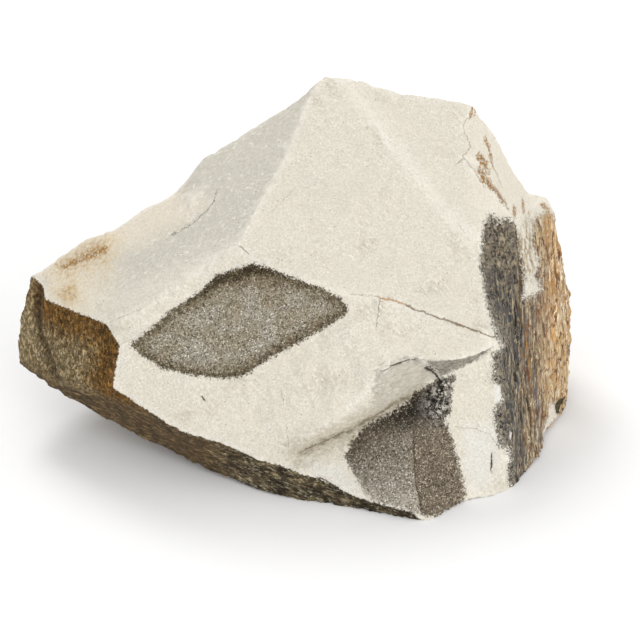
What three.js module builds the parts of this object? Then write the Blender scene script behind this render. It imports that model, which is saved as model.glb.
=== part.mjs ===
// A hand specimen of clinoptilolite tuff: one broken block of pale stone. Its fresh faces are cream
// fracture planes, and its weathered joint faces are brown. It rests on a flat patch of its underside.
//
// Millimetres, +Z up. The origin is the middle of the block's footprint, on the surface it rests on.
// +X runs along the block's length, towards the dark weathered side, and the broken cream faces with
// the grey inclusions look towards -Y.
//
// The block is one closed surface. Its corners are named, and its faces are either flat facets,
// each a loop of corners, or bands, each a strip between two chains of corners.
import * as THREE from "three";

const LENGTH = 112;
const DEPTH = 76;
const HEIGHT = 66.5;

// Edges are about FINE long in front of y = FINE_TO, and about COARSE long behind y = COARSE_FROM.
const FINE = 3.5;
const COARSE = 5.5;
const FINE_TO = -10;
const COARSE_FROM = 20;
// An edge is halved when it is longer than its target by this factor.
const SPLIT_OVER = 1.35;
// Passes that turn edges before the first halving, and that even the mesh out at the end.
const FIRST_TURNS = 4;
const LAST_TURNS = 12;
// After a turn, both new triangles must face this nearly the way the old pair did.
const SAME_WAY = 0.2;

const left = -LENGTH / 2;
const right = LENGTH / 2;
const front = -DEPTH / 2;
const back = DEPTH / 2;
const top = HEIGHT;

const corners = {
  // The crest climbs from the left tip to the peak.
  tipTop: [-53, 1, 31],
  crestA: [-49, 1.5, 33],
  crestB: [-43.5, 3, 36.5],
  crestC: [-41, 3.5, 38],
  crestD: [-36.5, 3.5, 39.5],
  crestE: [-30.5, 5.5, 43.5],
  crestF: [-24, 7, 46],
  crestG: [-18.5, 10.5, 52],
  crestH: [-9.5, 13, 57],
  crestI: [-6, 14, 58.5],
  crestJ: [1.5, 16, 63.5],
  peakLeft: [4, 16.5, 66],
  peak: [5.5, 18, top],
  // The top edge falls from the peak to the right shoulder.
  topA: [9.5, 18.5, 65.5],
  topB: [12.5, 19, 65],
  topC: [15.5, 18.5, 64],
  topD: [20.5, 19, 62.5],
  topE: [26, 19.5, 61.5],
  topF: [31, 20, 60.5],
  topG: [35, 20.5, 59],
  // The right outline, from the shoulder down to the surface.
  sideA: [36.5, 21, 56.5],
  sideB: [40.5, 20.5, 51],
  sideC: [43.5, 19.5, 45.5],
  sideD: [47, 19, 40.5],
  sideE: [50.5, 19.5, 39.5],
  sideF: [53, 18.5, 35.5],
  sideG: [53.5, 17, 31],
  sideH: [55, 15.5, 26.5],
  sideI: [55.5, 12.5, 19],
  sideJ: [right, 9, 13],
  sideK: [55.5, 3, 4.5],
  sideL: [55.5, 0, 2],
  // The sharp ridge between the grey slope and the cream main face.
  ridgeA: [2.5, 13.5, 64],
  ridgeB: [0.5, 9, 61.5],
  ridgeC: [-1.5, 3.5, 57.5],
  ridgeD: [-3.5, -0.5, 54.5],
  ridgeE: [-6.5, -6.5, 51.5],
  ridgeF: [-10.5, -13.5, 46.5],
  // The ledge across the grey slope.
  ledgeA: [-20.5, 1, 48.5],
  ledgeB: [-16.5, -1, 48.5],
  // The seam and the open crack along the foot of the main face.
  seamA: [-8.5, -16, 43],
  seamB: [0.5, -17.5, 40.5],
  seamC: [10, -18, 37.5],
  crackA: [15.5, -17.5, 36.5],
  crackB: [27, -17.5, 32],
  crackC: [38, -17.5, 27.5],
  // The low swell across the main face.
  swellA: [16.5, 9, 58],
  swellB: [23.5, 2, 49.5],
  swellC: [31.5, -3, 41.5],
  // The bend where the grey slope turns down into the lower front face.
  bendA: [-29, -18.5, 34.5],
  bendB: [-19, -16, 41],
  // The brown left end.
  tipA: [left, -4, 18.5],
  tipB: [-55.5, -2.5, 22.5],
  tipC: [-54, 0, 27.5],
  tipLow: [-55.5, -6, 14.5],
  endA: [-50.5, -2, 30.5],
  endB: [-49, -6, 29.5],
  endC: [-41.5, -12.5, 30],
  endD: [-36.5, -17, 30.5],
  endE: [-33.5, -20, 27.5],
  endF: [-35, -21.5, 19],
  endG: [-47.5, -13.5, 16],
  endH: [-41, -18, 17.5],
  endI: [-53, -8.5, 14.5],
  // The lower edge of the front face, over the brown underside.
  edgeA: [-30, -23, 16],
  edgeB: [-22, -25.5, 12],
  edgeC: [-14.5, -27, 10],
  edgeD: [-7, -29, 7],
  edgeE: [0.5, -30.5, 5.5],
  edgeF: [6, -31.5, 4],
  edgeG: [11, -34, 2.5],
  edgeH: [16.5, -36, 2],
  edgeI: [21.5, -37.5, 1.5],
  // The hem of the underside: on the surface from hemF to the toe, and rising to the left tip.
  hemM: [-51, -9, 13],
  hemL: [-47, -11.5, 11.5],
  hemK: [-39, -15, 8.5],
  hemJ: [-31, -18, 5.5],
  hemI: [-23, -20.5, 2.5],
  hemH: [-15, -24.5, 1],
  hemG: [-9, -28, 0],
  hemF: [-5, -30, 0],
  hemE: [0.5, -31.5, 0],
  hemD: [5.5, -32.5, 0],
  hemC: [10, -34, 0],
  hemB: [16.5, -36, 0],
  hemA: [21.5, -37.5, 0],
  toe: [25, front, 0],
  // The foot of the scar and of the dark side, on the surface.
  footJ: [27, -36.5, 0],
  footI: [28.5, -35, 0],
  footH: [30.5, -33, 0],
  footG: [33, -31.5, 0],
  footF: [37, -30.5, 0],
  footE: [40, -28.5, 0],
  footD: [42, -26.5, 0],
  footC: [44.5, -23.5, 0],
  footB: [45.5, -20, 0.5],
  footA: [48, -18, 0.5],
  // The lip over the scar, and the deep line under it.
  lipA: [16, -24.5, 24.5],
  lipB: [20.5, -23, 26],
  lipC: [26, -22.5, 25],
  lipD: [30, -22, 25.5],
  lipE: [34, -20.5, 26],
  lipF: [37.5, -18, 26],
  underA: [27, -21, 21.5],
  underB: [30, -20.5, 22],
  underC: [33.5, -19.5, 23],
  // The side wall of the scar rolls over from the front face down to a crease.
  rollA: [13, -26, 20.5],
  rollB: [9, -27, 17],
  rollC: [4, -28, 13.5],
  rollD: [-0.5, -28.5, 10.5],
  rollE: [-3, -29.5, 6.5],
  creaseA: [22.5, -21.5, 21.5],
  creaseB: [19.5, -23, 18],
  creaseC: [16, -25, 15.5],
  creaseD: [10, -26.5, 12.5],
  creaseE: [4.5, -28, 10.5],
  // The floor of the scar.
  floorA: [19.5, -30, 10.5],
  floorB: [9, -29, 9.5],
  floorC: [12, -32, 5],
  floorD: [22.5, -33.5, 6],
  floorE: [28.5, -26.5, 12.5],
  floorF: [32, -32, 1.5],
  floorG: [26.5, -36, 2],
  // The edge between the front faces and the dark weathered side.
  rimA: [37.5, 2.5, 43.5],
  rimB: [36, -2, 40.5],
  rimC: [35.5, -5, 38],
  rimD: [36, -9.5, 34.5],
  rimE: [37, -14, 30.5],
  rimF: [38.5, -17.5, 26.5],
  rimG: [37.5, -19.5, 22],
  rimH: [39, -21, 18],
  rimI: [38, -23.5, 14],
  rimJ: [38.5, -25.5, 9],
  rimK: [40.5, -25.5, 6.5],
  rimL: [41, -26.5, 2],
  // The rusty vein between the main face and the right shoulder.
  veinA: [32.5, 15.5, 56],
  veinB: [34, 13, 53.5],
  veinC: [32.5, 10.5, 52],
  veinD: [36, 8.5, 49],
  veinE: [39.5, 7, 45.5],
  veinF: [42.5, 6, 41],
  // Across the dark side.
  faceA: [46.5, 8, 36],
  faceB: [50, 15, 36],
  faceC: [46, -5.5, 22.5],
  faceD: [46, -12.5, 10.5],
  faceE: [50, -8.5, 1],
  faceF: [50.5, 3, 20],
  knob: [53.5, -3, 1],
  // The back, from the right to the left.
  backE: [51, 27, 21],
  backD: [41, 34, 29],
  backC: [17, back, 35],
  backB: [-13, 33, 33],
  backA: [-39, 21, 26],
  // Half-way up the two ridges of the back, under the right shoulder and under the peak.
  spurA: [39.5, 29, 45.5],
  spurB: [-3, 28, 52],
  // The lower edge of the back.
  heelE: [53, 13, 4],
  heelD: [45, 25, 5],
  heelC: [23, 34, 7],
  heelB: [-8, 30, 8],
  heelA: [-34, 17, 9],
  heelTip: [-52, 5, 16],
  // The rest of the flat patch.
  baseRight: [42, -6, 0],
  baseBackRight: [33, 14, 0],
  baseBack: [6, 20, 0],
  baseBackLeft: [-16, 10, 0],
  baseLeft: [-18, -12, 0],
};

const crest = "tipTop crestA crestB crestC crestD crestE crestF crestG crestH crestI crestJ peakLeft peak";
const topEdge = "topA topB topC topD topE topF topG";

// Flat facets: each loop runs anticlockwise as seen from outside.
const facets = {
  upperGreySlope:
    "crestF ledgeA ledgeB ridgeE ridgeD ridgeC ridgeB ridgeA peakLeft crestJ crestI crestH " +
    "crestG",
  lowerGreySlope:
    "tipTop endA endB endC endD bendA bendB ridgeF ridgeE ledgeB ledgeA crestF crestE crestD " +
    "crestC crestB crestA",
  frontFace:
    "endD endE endF edgeA edgeB edgeC edgeD rollE rollD rollC rollB rollA lipA seamC seamB seamA " +
    "ridgeF bendB bendA",
  brow: "seamC lipA lipB lipC lipD lipE lipF rimF crackC crackB crackA",
  mainFace:
    "ridgeF seamA seamB seamC crackA crackB crackC rimE rimD rimC swellC swellB swellA topA peak peakLeft " +
    "ridgeA ridgeB ridgeC ridgeD ridgeE",
  shoulderFace:
    "topA swellA swellB swellC rimC rimB rimA veinF veinE veinD veinC veinB veinA topG topF topE " +
    "topD topC topB",
  rightShoulder:
    "topG veinA veinB veinC veinD veinE veinF faceA faceB sideF sideE sideD sideC sideB sideA",
  darkSide:
    "veinF rimA rimB rimC rimD rimE crackC rimF rimG rimH rimI rimJ rimK rimL footD footC footB " +
    "faceD faceC faceA",
  brownSideUpper: "faceA faceC faceF sideI sideH sideG sideF faceB",
  brownSideLower: "faceC faceD footB footA faceE knob sideL sideK sideJ sideI faceF",
  richBrownEnd: "endB endG endH endF endE endD endC",
  leftTip: "tipTop tipC tipB tipA tipLow endI endG endB endA",
  scarLeft: "rollE edgeE edgeF floorC floorB creaseD creaseE",
  scarCrease: "creaseD floorB floorC floorA creaseC",
  scarToe: "floorC edgeF edgeG edgeH floorD floorA",
  scarTip: "edgeH edgeI toe footJ floorG floorD",
  scarMiddle: "floorA floorD floorG floorF floorE",
  scarHead: "creaseC floorA floorE underA creaseA creaseB",
  scarHeel: "floorG footJ footI footH footG floorF",
  scarRight: "floorF footG footF footE footD rimL rimK rimJ rimI floorE",
  scarUpperRight: "floorE rimI rimH rimG rimF lipF underC underB underA",
  flatPatch:
    "footC footD footE footF footG footH footI footJ toe hemA hemB hemC hemD hemE hemF hemG " +
    "baseLeft baseBackLeft baseBack baseBackRight baseRight",
  leftUnderside: "hemG hemH hemI hemJ hemK hemL hemM tipLow heelTip heelA baseBackLeft baseLeft",
  backUnderside: "baseBackLeft heelA heelB baseBack",
  middleUnderside: "baseBack heelB heelC baseBackRight",
  rightUnderside: "baseBackRight heelC heelD heelE sideL knob faceE footA footB footC baseRight",
  leftBack: "tipTop backA heelA heelTip tipLow tipA tipB tipC",
  lowerBackLeft: "backB heelB heelA backA",
  lowerBackMiddle: "backC heelC heelB backB",
  lowerBackRight: "backD heelD heelC backC",
  upperBackLeft: `backB backA ${crest} spurB`,
  upperBackMiddle: `backD backC backB spurB peak ${topEdge} spurA`,
  upperBackRight: "backE backD spurA topG sideA sideB sideC sideD sideE sideF",
  rightBack: "sideF sideG sideH sideI sideJ sideK sideL heelE heelD backD backE",
};

// Bands: both chains run left to right as seen from outside, the first along the bottom.
const bands = {
  hem: [
    "tipLow hemM hemL hemK hemJ hemI hemH hemG hemF hemE hemD hemC hemB hemA toe",
    "tipLow endI endG endH endF edgeA edgeB edgeC edgeD rollE edgeE edgeF edgeG edgeH edgeI toe",
  ],
  scarWall: [
    "rollE creaseE creaseD creaseC creaseB",
    "rollE rollD rollC rollB rollA lipA",
  ],
  lipUnderside: [
    "lipA creaseB creaseA underA underB underC lipF",
    "lipA lipB lipC lipD lipE lipF",
  ],
};

const point = (name) => new THREE.Vector3(...corners[name]);

// A facet's triangles, found in the plane that fits its loop best.
function facetTriangles(loop) {
  const names = loop.split(" ");
  const points = names.map(point);
  const normal = new THREE.Vector3();
  points.forEach((p, i) => normal.add(p.clone().cross(points[(i + 1) % points.length])));
  const toPlane = new THREE.Quaternion().setFromUnitVectors(normal.normalize(), new THREE.Vector3(0, 0, 1));
  const flat = points.map((p) => {
    const q = p.clone().applyQuaternion(toPlane);
    return new THREE.Vector2(q.x, q.y);
  });
  return THREE.ShapeUtils.triangulateShape(flat, []).map((t) => t.map((i) => names[i]));
}

// A band's triangles: at each step the shorter of the two next rungs is taken.
function bandTriangles([lower, upper]) {
  const a = lower.split(" ");
  const b = upper.split(" ");
  const triangles = [];
  let i = 0;
  let j = 0;
  while (i < a.length - 1 || j < b.length - 1) {
    const alongLower = i < a.length - 1 ? point(a[i + 1]).distanceTo(point(b[j])) : Infinity;
    const alongUpper = j < b.length - 1 ? point(a[i]).distanceTo(point(b[j + 1])) : Infinity;
    if (alongLower <= alongUpper) {
      triangles.push([a[i], a[i + 1], b[j]]);
      i += 1;
    } else {
      triangles.push([a[i], b[j + 1], b[j]]);
      j += 1;
    }
  }
  return triangles.filter((t) => new Set(t).size === 3);
}

// The rough surface: every triangle knows the face it belongs to, and its three vertices by number.
const names = Object.keys(corners);
const vertices = names.map(point);
const patches = [...Object.values(facets).map(facetTriangles), ...Object.values(bands).map(bandTriangles)];
let triangles = patches.flatMap((patch, face) =>
  patch.map((t) => ({ face, v: t.map((name) => names.indexOf(name)) })),
);

const edgeKey = (a, b) => (a < b ? `${a} ${b}` : `${b} ${a}`);

// Each edge with its two ends, its length and the two triangles that share it.
function edgesOf(list) {
  const edges = new Map();
  list.forEach((t) =>
    t.v.forEach((a, i) => {
      const b = t.v[(i + 1) % 3];
      const key = edgeKey(a, b);
      if (!edges.has(key)) edges.set(key, { a, b, length: vertices[a].distanceTo(vertices[b]), sides: [] });
      edges.get(key).sides.push(t);
    }),
  );
  return edges;
}

// The front holds the scar, the lip and the inclusions, so its triangles are smaller.
function spacingAt(p) {
  const y = THREE.MathUtils.clamp(p.y, FINE_TO, COARSE_FROM);
  return THREE.MathUtils.mapLinear(y, FINE_TO, COARSE_FROM, FINE, COARSE);
}

// Halves each edge that is too long, the longest first, and each triangle at most once in a pass.
function splitLongEdges() {
  const tooLong = [...edgesOf(triangles).values()].filter((e) => {
    e.middle = vertices[e.a].clone().lerp(vertices[e.b], 0.5);
    return e.length > spacingAt(e.middle) * SPLIT_OVER;
  });
  const touched = new Set();
  const added = [];
  for (const { a, b, middle, sides } of tooLong.sort((e, f) => f.length - e.length)) {
    if (sides.some((t) => touched.has(t))) continue;
    const m = vertices.push(middle) - 1;
    for (const t of sides) {
      touched.add(t);
      added.push({ face: t.face, v: t.v.map((i) => (i === a ? m : i)) });
      added.push({ face: t.face, v: t.v.map((i) => (i === b ? m : i)) });
    }
  }
  triangles = [...triangles.filter((t) => !touched.has(t)), ...added];
  return added.length > 0;
}

const cornerAngle = (at, p, q) => p.clone().sub(at).angleTo(q.clone().sub(at));
const normalOf = (v) => new THREE.Triangle(...v.map((i) => vertices[i])).getNormal(new THREE.Vector3());

// Turns the edge between two triangles of one face where that makes both less thin.
function flipEdges() {
  const edges = edgesOf(triangles);
  const touched = new Set();
  for (const { a, b, sides } of edges.values()) {
    const [s, t] = sides;
    if (s.face !== t.face || touched.has(s) || touched.has(t)) continue;
    const c = s.v.find((i) => i !== a && i !== b);
    const d = t.v.find((i) => i !== a && i !== b);
    const [pa, pb, pc, pd] = [a, b, c, d].map((i) => vertices[i]);
    if (cornerAngle(pc, pa, pb) + cornerAngle(pd, pa, pb) <= Math.PI || edges.has(edgeKey(c, d))) continue;
    const first = s.v.map((i) => (i === b ? d : i));
    const second = t.v.map((i) => (i === a ? c : i));
    const facing = normalOf(s.v).add(normalOf(t.v));
    if (normalOf(first).dot(facing) < SAME_WAY || normalOf(second).dot(facing) < SAME_WAY) continue;
    s.v = first;
    t.v = second;
    [s, t].forEach((x) => touched.add(x));
  }
}

// Draws each vertex inside a face to the middle of its neighbours, as a stretched skin would.
function evenOut() {
  const around = vertices.map(() => new Set());
  const onBorder = new Set();
  for (const { a, b, sides } of edgesOf(triangles).values()) {
    around[a].add(b);
    around[b].add(a);
    if (sides[0].face !== sides[1].face) [a, b].forEach((i) => onBorder.add(i));
  }
  const moved = vertices.map((p, i) => {
    if (onBorder.has(i)) return p;
    const middle = new THREE.Vector3();
    around[i].forEach((j) => middle.add(vertices[j]));
    return middle.divideScalar(around[i].size);
  });
  moved.forEach((p, i) => vertices[i].copy(p));
}

for (let pass = 0; pass < FIRST_TURNS; pass += 1) flipEdges();
while (splitLongEdges()) {
  flipEdges();
  evenOut();
}
for (let pass = 0; pass < LAST_TURNS; pass += 1) {
  flipEdges();
  evenOut();
}

const surface = new THREE.BufferGeometry();
surface.setAttribute("position", new THREE.Float32BufferAttribute(vertices.flatMap((p) => p.toArray()), 3));
surface.setIndex(triangles.flatMap((t) => t.v));

const creamTuff = new THREE.MeshStandardMaterial({ color: 0xe9e2d2, roughness: 0.95, metalness: 0 });
const stone = new THREE.Mesh(surface, creamTuff);
stone.name = "stone";

const specimen = new THREE.Group();
specimen.add(stone);

export default specimen;
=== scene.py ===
# A hand specimen of clinoptilolite tuff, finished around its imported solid.
#
# Sizes are named in millimetres and become metres through MM. The part's own frame holds throughout: +Z is
# up, the broken cream faces look towards -Y, and the dark weathered side is at +X.
import math

import bmesh
import bpy
import numpy as np
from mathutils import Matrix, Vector, kdtree


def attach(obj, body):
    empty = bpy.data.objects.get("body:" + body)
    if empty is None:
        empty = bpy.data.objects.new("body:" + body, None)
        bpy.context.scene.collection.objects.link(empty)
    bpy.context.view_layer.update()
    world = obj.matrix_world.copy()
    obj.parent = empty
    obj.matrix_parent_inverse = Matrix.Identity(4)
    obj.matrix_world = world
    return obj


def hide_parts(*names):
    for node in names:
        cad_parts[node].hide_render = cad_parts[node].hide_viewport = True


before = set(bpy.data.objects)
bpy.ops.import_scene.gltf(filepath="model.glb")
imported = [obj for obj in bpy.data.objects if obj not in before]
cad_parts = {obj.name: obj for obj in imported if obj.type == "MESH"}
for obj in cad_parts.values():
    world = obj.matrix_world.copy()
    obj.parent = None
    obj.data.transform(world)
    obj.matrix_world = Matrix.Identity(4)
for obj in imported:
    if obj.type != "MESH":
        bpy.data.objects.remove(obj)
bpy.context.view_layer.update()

# ---------------------------------------------------------------------------------------------------------
# The broken block. One lump of pale, compact zeolite tuff, split out of its bed by hammer. Its fracture
# faces meet in crisp edges, and between them the stone bends softly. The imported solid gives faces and
# edges. A finer copy of it carries the relief.
MM = 0.001
SAME_POINT = 0.01
CRISP_ANGLE = math.radians(18)
# The front is looked at from this far above. The copy's edges get at most this long on the faces that are
# seen from there, whose normals come within TURNED_AWAY of it, and on the hidden ones.
LOOK_DOWN = math.radians(30)
FRONT = Vector((0, -math.cos(LOOK_DOWN), math.sin(LOOK_DOWN)))
TURNED_AWAY = -0.1
FRONT_EDGE = 0.62
HIDDEN_EDGE = 1.3
HALVINGS = 4
SOFTEN_FACES = 40
SOFTEN_EDGES = 2

shape = bmesh.new()
shape.from_mesh(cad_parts["stone"].data)
bmesh.ops.remove_doubles(shape, verts=shape.verts, dist=SAME_POINT * MM)
for edge in shape.edges:
    edge.smooth = edge.calc_face_angle() < CRISP_ANGLE


def too_long(edge):
    """Whether an edge is still to be halved."""
    seen = max(face.normal.dot(FRONT) for face in edge.link_faces) > TURNED_AWAY
    return edge.calc_length() > (FRONT_EDGE if seen else HIDDEN_EDGE) * MM


for _ in range(HALVINGS):
    bmesh.ops.subdivide_edges(shape, edges=[edge for edge in shape.edges if too_long(edge)], cuts=1)
    bmesh.ops.triangulate(shape, faces=shape.faces)
    shape.normal_update()

# Halving a sliver can leave a fin, two faces on the same three corners. Both go.
on_corners = {}
for face in shape.faces:
    on_corners.setdefault(frozenset(face.verts), []).append(face)
fins = [face for faces in on_corners.values() if len(faces) > 1 for face in faces]
bmesh.ops.delete(shape, geom=fins, context="FACES")

shape.verts.index_update()
crisp = np.array([[v.index for v in edge.verts] for edge in shape.edges if not edge.smooth])
stone_mesh = bpy.data.meshes.new("stone_surface")
shape.to_mesh(stone_mesh)
shape.free()

points = np.empty(len(stone_mesh.vertices) * 3)
stone_mesh.vertices.foreach_get("co", points)
points = points.reshape(-1, 3)
edges = np.empty(len(stone_mesh.edges) * 2, dtype=int)
stone_mesh.edges.foreach_get("vertices", edges)
edges = edges.reshape(-1, 2)


def neighbour_mean(links):
    """The middle of each vertex's neighbours on the given edges, or the vertex itself if it has none."""
    both = np.vstack([links, links[:, ::-1]])
    count = np.bincount(both[:, 0], minlength=len(points))
    total = np.stack([np.bincount(both[:, 0], points[both[:, 1], i], len(points)) for i in range(3)], 1)
    return np.where(count[:, None] > 0, total / np.maximum(count, 1)[:, None], points)


# The faces bend softly into each other, while the crisp edges only lose their hardest corners.
on_crisp = np.zeros(len(points), dtype=bool)
on_crisp[crisp] = True
for _ in range(SOFTEN_FACES):
    points = np.where(on_crisp[:, None], points, neighbour_mean(edges))
for _ in range(SOFTEN_EDGES):
    points = 0.5 * points + 0.5 * neighbour_mean(edges)
stone_mesh.vertices.foreach_set("co", points.ravel())
stone_mesh.update()
stone_mesh.shade_smooth()

# Where each finish lies. The outlines are drawn on the front elevation, as (x, z) in millimetres, and each
# becomes an attribute: how many millimetres a vertex lies inside its outline, negative outside. First come
# the two inclusions.
LENS = [(-31.5, 27.5), (-29, 29.5), (-23, 34.5), (-17.5, 38), (-15, 40.5), (-10.5, 42), (-8, 43), (-4.5, 42),
        (4, 39), (8, 37), (9.5, 35.5), (9.2, 34), (4, 31), (-4.5, 26.5), (-8, 24), (-10.5, 22.5), (-15.5, 22),
        (-20.5, 22.5), (-25.5, 23.5), (-29, 25.5)]
FAN = [(27, 21), (22, 18.5), (21.5, 17.5), (18.5, 16), (13, 13.5), (10.5, 11), (9, 8.5), (11.5, 5),
       (12.5, 3.8), (14, 2.6), (19.5, 1.8), (24, 0.8), (27, 0), (31, 0), (32.3, 1.5), (31, 6), (29.5, 11),
       (28.5, 13.5), (27.5, 14.2), (29, 15), (29.5, 20), (30.3, 21.5)]
# The brown skin below the broken front, which covers the left end and the strip of the underside that shows,
# and the skin's border round the back.
FRONT_SKIN = [(-80, 31.2), (-53, 31.2), (-50.5, 30.5), (-49, 29.5), (-41.5, 30), (-36.5, 30.5), (-33.5, 27.5),
              (-35, 19), (-30, 16), (-22, 12), (-14.5, 10), (-7, 7), (-3, 6.5), (0.5, 5.5), (6, 4), (11, 2.5),
              (16.5, 2), (21.5, 1.5), (25, -1), (25, -40), (-80, -40)]
BACK_SKIN = [(-80, 31), (-53, 31), (-39, 26), (-13, 33), (17, 35), (41, 29), (51, 21), (53, 35.5), (80, 36),
             (80, -40), (-80, -40)]
# The dark side, with the tongue of bare cream tuff that runs down into it from above.
DARK_SIDE = [(42.5, 40.5), (41.5, 41.5), (39.5, 41.8), (37.5, 43.5), (36.2, 42.5), (35.8, 40.5), (35.3, 38.5),
             (35.6, 36.5), (36, 34.5), (36.3, 32.5), (37.2, 30.5), (38.2, 28), (38.7, 26.6), (39.9, 24.3),
             (37.5, 25), (37.5, 20), (38.7, 18.5), (39.2, 16), (38.1, 15.8), (37.6, 14), (38, 12.3),
             (38.5, 9.5), (38.8, 8.2), (40.5, 7), (41, 5), (40.3, 4.5), (40.6, 2.5), (41.5, -1), (80, -1),
             (80, 34), (53, 34.5), (51, 37), (48, 37.5), (46.8, 35), (48.6, 30.6), (47.3, 29.6), (49, 26),
             (46, 27.2), (44.1, 27.9), (44.7, 30.5), (44.4, 33.4), (43.6, 38.3)]
# The slope that looks left and up, the warmer plate on its lower half, and the flake on its tip.
SLOPE = [(14, 70), (6, 60), (-2, 49), (-9, 43.5), (-15, 42.3), (-25.5, 36.7), (-33, 31.5), (-42, 31),
         (-60, 33), (-60, 70)]
BLUSH = [(-38, 36.5), (-30, 39.5), (-24, 43), (-20.5, 45), (-16.5, 48), (-15.8, 49.2), (-20.8, 48.2),
         (-24, 47.2), (-30, 48), (-45, 41)]
FLAKE = [(-47.5, 33.4), (-44.3, 34.5), (-41.6, 35.7), (-39.4, 36.8), (-36.5, 37.8), (-37.5, 41), (-50, 37)]
# Thin rust films about that flake.
FILMS = [
    [(-48, 33.5), (-44.5, 35), (-39, 38), (-37, 38.3), (-37.5, 37), (-42, 35.3), (-46, 33)],
    [(-46, 30.8), (-43.5, 32.4), (-42.8, 31.4), (-45, 30.2)],
]
# Rust along the foot of that flake, and in the vein from the shoulder to the dark side: half its width, and
# its run.
RUST = [
    (0.16, [(-46.3, 33.6), (-44.3, 34.5), (-41.6, 35.7), (-39.4, 36.8), (-37, 37.8)]),
    (0.25, [(34.7, 58.6), (34.2, 57.4)]),
    (0.15, [(35.4, 58.2), (35.1, 57.4)]),
    (0.22, [(37.2, 53.2), (38.2, 51.1), (38.6, 48.9)]),
    (0.45, [(35.7, 51.5), (37.3, 49.6)]),
    (0.45, [(35.9, 49.7), (36.6, 48.4)]),
    (0.2, [(37.4, 48.9), (38, 48.5)]),
    (0.3, [(37.4, 47.9), (38.1, 47)]),
    (0.12, [(38.1, 47), (39.1, 46.2), (40.9, 43.8)]),
    (0.3, [(42.8, 41.9), (43.1, 41)]),
    (0.25, [(45.2, 41.1), (45.3, 39.9)]),
    (0.25, [(49.4, 38.7), (51, 37.2)]),
]
# The grey underside of the lip, and the shallow hollow beside it.
UNDER_LIP = [(24.3, 25.6), (29.8, 25.5), (33.1, 25.3), (35.7, 25.5), (37.6, 26.1), (36.1, 24.8), (34.4, 23.6),
             (30, 22.2), (27.2, 21.2), (26.7, 22.5)]
HOLLOW = [(15.6, 24.6), (20.2, 25.9), (23.9, 25.5), (25.1, 24.4), (27.2, 21.1), (23, 19.2), (20.9, 17.2),
          (15.8, 15.8), (15, 18.6), (15.3, 21.8)]
# The stained middle of the bare tongue, the gritty top of the dark side, and the crumpled low front.
TONGUE = [(43.2, 38.5), (46.5, 39), (47.6, 37), (46.8, 35), (48, 31.5), (46.5, 29), (44.4, 31.5),
          (44.2, 34.5)]
GRITTY = [(36.5, 42), (38.6, 42.5), (41.5, 42.5), (43, 39), (43.2, 33.5), (41, 31.5), (38, 35.5),
          (35.8, 38)]
CRUMPLED = [(2, 32.5), (9, 33), (14, 28), (12, 21), (2, 17), (-10, 15.5), (-14, 19.5), (-3, 25)]
# Chalky ground on both sides of the fan.
CHALK = [
    [(31.5, 13), (37.5, 12), (38.5, 6), (37, 2), (33.5, 1.5), (32, 6)],
    [(2, 8), (8.5, 7), (12, 3.4), (7.5, 3.6), (1, 6)],
]
# White chips where a flake has come off the dark side, bare tuff at its foot and in its top edge, and a dark
# pocket beside the first.
CHIPS = [
    [(37.3, 19.6), (38.7, 19), (39.1, 16.6), (37.9, 16)],
    [(40.3, 9.9), (40.8, 9.6), (40.9, 8.3), (40.4, 8.3)],
]
BARE = [
    [(50.4, 5.8), (51.6, 4.6), (52, 2.4), (53.2, 1.2), (56, 1), (53.5, 0.3), (51, 1.5), (49.5, 0.5),
     (48.6, 1.5), (50, 3.5)],
    [(38, 46), (38.6, 42.6), (40, 41.6), (41.7, 41.8), (42.6, 46)],
]
POCKET = [(51.9, 4.2), (53, 4.3), (54.4, 3.4), (56.5, 2.6), (56, 0.8), (53.4, 1), (52.2, 2.2)]
# The crease at the foot of the scar's wall, the seam of the fan's two zones, the crest of the soft swell that
# runs down from the peak.
CREASE = [(22.5, 18.6), (19.5, 17.6), (16, 15.8), (10, 12.8), (4.5, 10.8), (0.5, 9)]
FAN_SEAM = [(20, 24), (22.1, 15), (22.3, 6), (23.8, -1)]
SWELL = [(9.3, 65.2), (13.2, 61.3), (17, 57.7), (23.8, 50.7), (31.5, 42.9), (35.7, 39.9)]
# The gutter down the left end, between two steps of the old joint.
GUTTER = [(-50.3, 31), (-51.1, 29.2), (-51, 23.1), (-49.2, 20.4), (-47.2, 16.3)]
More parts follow.
